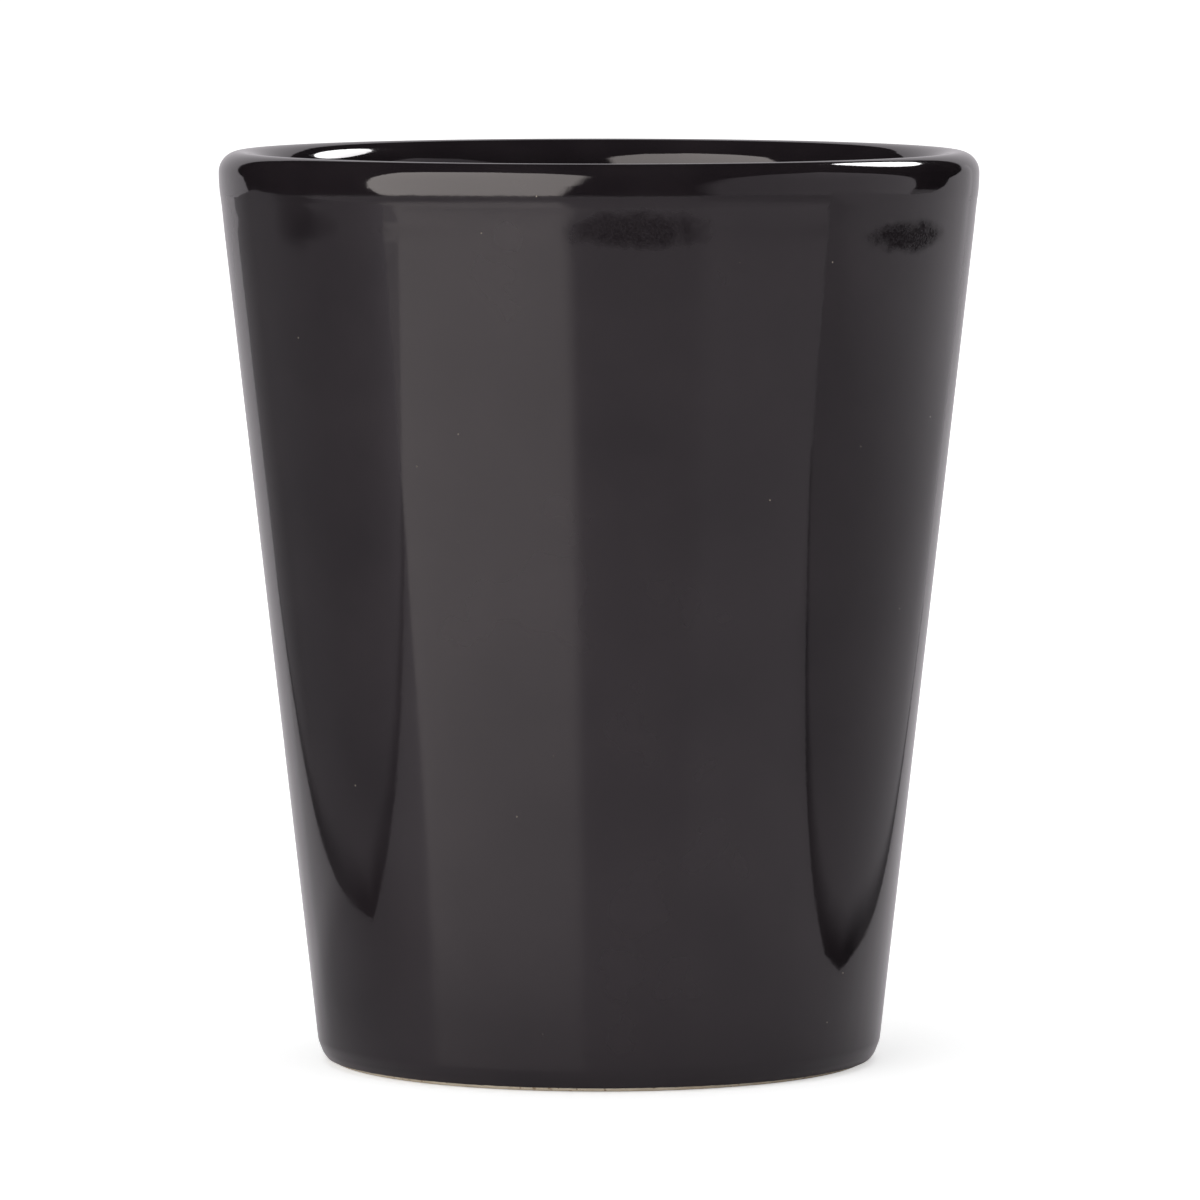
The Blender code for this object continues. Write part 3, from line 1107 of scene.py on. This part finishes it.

# %% [markdown]
# ## Two boxes beside the cup
# Each side of the wall shows a dark tongue that ends in a point above the foot. It is the mirror image of
# a grey box that stands on the table close to the cup, and the point is where its corner meets the table.
# Flat cards far away would give straight streaks, so each box is a fold of upright faces with its corner
# towards the cup. Its glow paints the light on the box and a contact shadow where it meets the table, and
# is written in metres, along the face from that corner and up from the table.

# %% Box helpers
BOX_GAIN_ALONG = (0.05, 0.15)
BOX_GAIN_UP = (0.028, 0.045)
BOX_CORNER = (0.003, 0.018)
BOX_CORNER_DROP = 5
BOX_FOOT_RISE = (0.0007, 0.005)
BOX_TOP_SHADE = (0.0445, 0.0467)


def box_material(name, levels, reach, gains, foot_shadow, shade):
    """Levels run from the corner over the reach, then rise by the gains along and up.

    The level at the table is a painted contact shadow, and shade is painted shade that darkens the top
    corner.
    """
    material, tree, strength, along, height = glow_tree(name, COOL)
    # The glow paints the light on the box's faces: dim at the corner by the cup, brighter along the face
    # and up.
    level = spread(tree, along, 0, reach, *levels)
    level = maths(tree, "MULTIPLY", level, spread(tree, along, *BOX_GAIN_ALONG, 1, gains[0]))
    level = maths(tree, "MULTIPLY", level, spread(tree, height, *BOX_GAIN_UP, 1, gains[1], True))
    # Painted contact shadow at the table, deepest near the corner, and painted shade at the top corner.
    corner = spread(tree, along, *BOX_CORNER, 1, 0, True)
    lowest = spread(tree, corner, 0, 1, foot_shadow, foot_shadow / BOX_CORNER_DROP)
    rise = spread(tree, height, *BOX_FOOT_RISE, 0, 1, True)
    foot = maths(tree, "ADD", lowest, maths(tree, "MULTIPLY", maths(tree, "SUBTRACT", 1, lowest), rise))
    top = maths(tree, "MULTIPLY", corner, spread(tree, height, *BOX_TOP_SHADE, 0, shade, True))
    foot = maths(tree, "MULTIPLY", foot, maths(tree, "SUBTRACT", 1, top))
    join(tree, (maths(tree, "MULTIPLY", level, foot), strength))
    return material


def upright_box(name, front, corner, rear, finishes):
    """Upright faces through points (x, y, height): front ones, the corner at the cup, rear ones."""
    outline = front + [corner] + rear
    count = len(outline)
    lower = [(x, y, 0) for x, y, _ in outline]
    mesh = bpy.data.meshes.new(name)
    mesh.from_pydata(lower + outline, [], [(i, i + 1, count + i + 1, count + i) for i in range(count - 1)])
    uv = mesh.uv_layers.new(name="card")
    for loop in mesh.loops:
        place = mesh.vertices[loop.vertex_index].co
        uv.data[loop.index].uv = ((place.xy - Vector(corner[:2])).length, place.z)
    for finish in finishes:
        mesh.materials.append(finish)
    for face in mesh.polygons:
        face.material_index = 0 if face.index < len(front) else 1
    box = bpy.data.objects.new(name, mesh)
    scene.collection.objects.link(box)
    only_reflected(box)


# %% Boxes on the table
LEFT_REAR = [(-0.0662, 0.0247, 0.05), (-0.133, 0.169, 0.032)]
LEFT_FRONT_LEVELS = (0.33, 0.7)
LEFT_FRONT_REACH = 0.1
LEFT_FRONT_GAINS = (1.25, 1)
LEFT_REAR_LEVELS = (0.33, 0.2)
LEFT_REAR_GAINS = (1.45, 1)
# Level of the painted contact shadow at the foot of the left box, and the painted shade at its top corner.
LEFT_FOOT_SHADOW = 0.4
LEFT_SHADE = 0.55
RIGHT_FRONT = [(0.161, -0.059, 0.038), (0.0435, -0.006, 0.0518)]
RIGHT_CORNER = (0.0403, -0.0005, 0.0525)
RIGHT_REAR = [(0.045, 0.009, 0.0533), (0.0682, 0.0729, 0.075), (0.113, 0.192, 0.1)]
RIGHT_FRONT_LEVELS = (0.44, 0.46)
RIGHT_FRONT_GAINS = (1, 1.3)
RIGHT_REAR_LEVELS = (0.44, 0.44)
RIGHT_REAR_GAINS = (1.3, 1.3)
# Level of the painted contact shadow at the foot of the right box; no painted shade at its top.
RIGHT_FOOT_SHADOW = 0.3
RIGHT_SHADE = 0
BOX_REACH = 0.05

left_finishes = [
    box_material(
        "left box front", LEFT_FRONT_LEVELS, LEFT_FRONT_REACH, LEFT_FRONT_GAINS, LEFT_FOOT_SHADOW, LEFT_SHADE
    ),
    box_material("left box rear", LEFT_REAR_LEVELS, BOX_REACH, LEFT_REAR_GAINS, LEFT_FOOT_SHADOW, LEFT_SHADE),
]
upright_box("left_box", LEFT_FRONT, LEFT_CORNER, LEFT_REAR, left_finishes)
right_finishes = [
    box_material(
        "right box front", RIGHT_FRONT_LEVELS, BOX_REACH, RIGHT_FRONT_GAINS, RIGHT_FOOT_SHADOW, RIGHT_SHADE
    ),
    box_material("right box rear", RIGHT_REAR_LEVELS, BOX_REACH, RIGHT_REAR_GAINS, RIGHT_FOOT_SHADOW, RIGHT_SHADE),
]
upright_box("right_box", RIGHT_FRONT, RIGHT_CORNER, RIGHT_REAR, right_finishes)

# %% [markdown]
# ## Lamps
# The lamps give plain soft light to the table and the bare clay: a large one overhead, and a low one at the
# front left that reaches the strip of clay under the glaze line. Sun lamps would draw hard shadows, so both
# are wide squares. They stay out of the reflections, which belong to the cards.

# %% Lamps
OVERHEAD_PLACE = (0, 0, 1.2)
OVERHEAD_SIZE = 1.3
OVERHEAD_POWER = 11.5
SIDE_PLACE = (-0.5, -1.0, 0.16)
SIDE_SIZE = 0.8
SIDE_POWER = 9.5


def soft_lamp(name, place, size, power):
    lamp = bpy.data.lights.new(name, "AREA")
    lamp.shape = "SQUARE"
    lamp.size = size
    lamp.energy = power
    holder = bpy.data.objects.new(name, lamp)
    holder.location = place
    holder.rotation_euler = (-Vector(place)).to_track_quat("-Z", "Y").to_euler()
    holder.visible_glossy = False
    holder.visible_camera = False
    scene.collection.objects.link(holder)


soft_lamp("overhead_lamp", OVERHEAD_PLACE, OVERHEAD_SIZE, OVERHEAD_POWER)
soft_lamp("side_lamp", SIDE_PLACE, SIDE_SIZE, SIDE_POWER)
print("lamps:", OVERHEAD_POWER, "W overhead,", SIDE_POWER, "W at the front left")

# %% [markdown]
# ## Camera
# The photograph was taken with a long lens from about 60 cm, a little above the rim. The height and the
# tilt come from how round the lip and the foot look, and the lens from the size of the cup in the frame.

# %% Camera
CAMERA_DISTANCE = 0.6144
CAMERA_HEIGHT = 0.07873
CAMERA_PITCH = 0.08087
CAMERA_YAW = -0.0001
FRAME_PIXELS = 1200
FOCAL_PIXELS = 9813
SENSOR = 36.0

lens = bpy.data.cameras.new("camera")
lens.sensor_width = SENSOR
lens.lens = SENSOR * FOCAL_PIXELS / FRAME_PIXELS
camera = bpy.data.objects.new("camera", lens)
camera.location = (0, -CAMERA_DISTANCE, CAMERA_HEIGHT)
camera.rotation_euler = (math.pi / 2 - CAMERA_PITCH, 0, CAMERA_YAW)
scene.collection.objects.link(camera)
scene.camera = camera
scene.view_settings.view_transform = "Standard"
print("lens %.0f mm" % lens.lens)
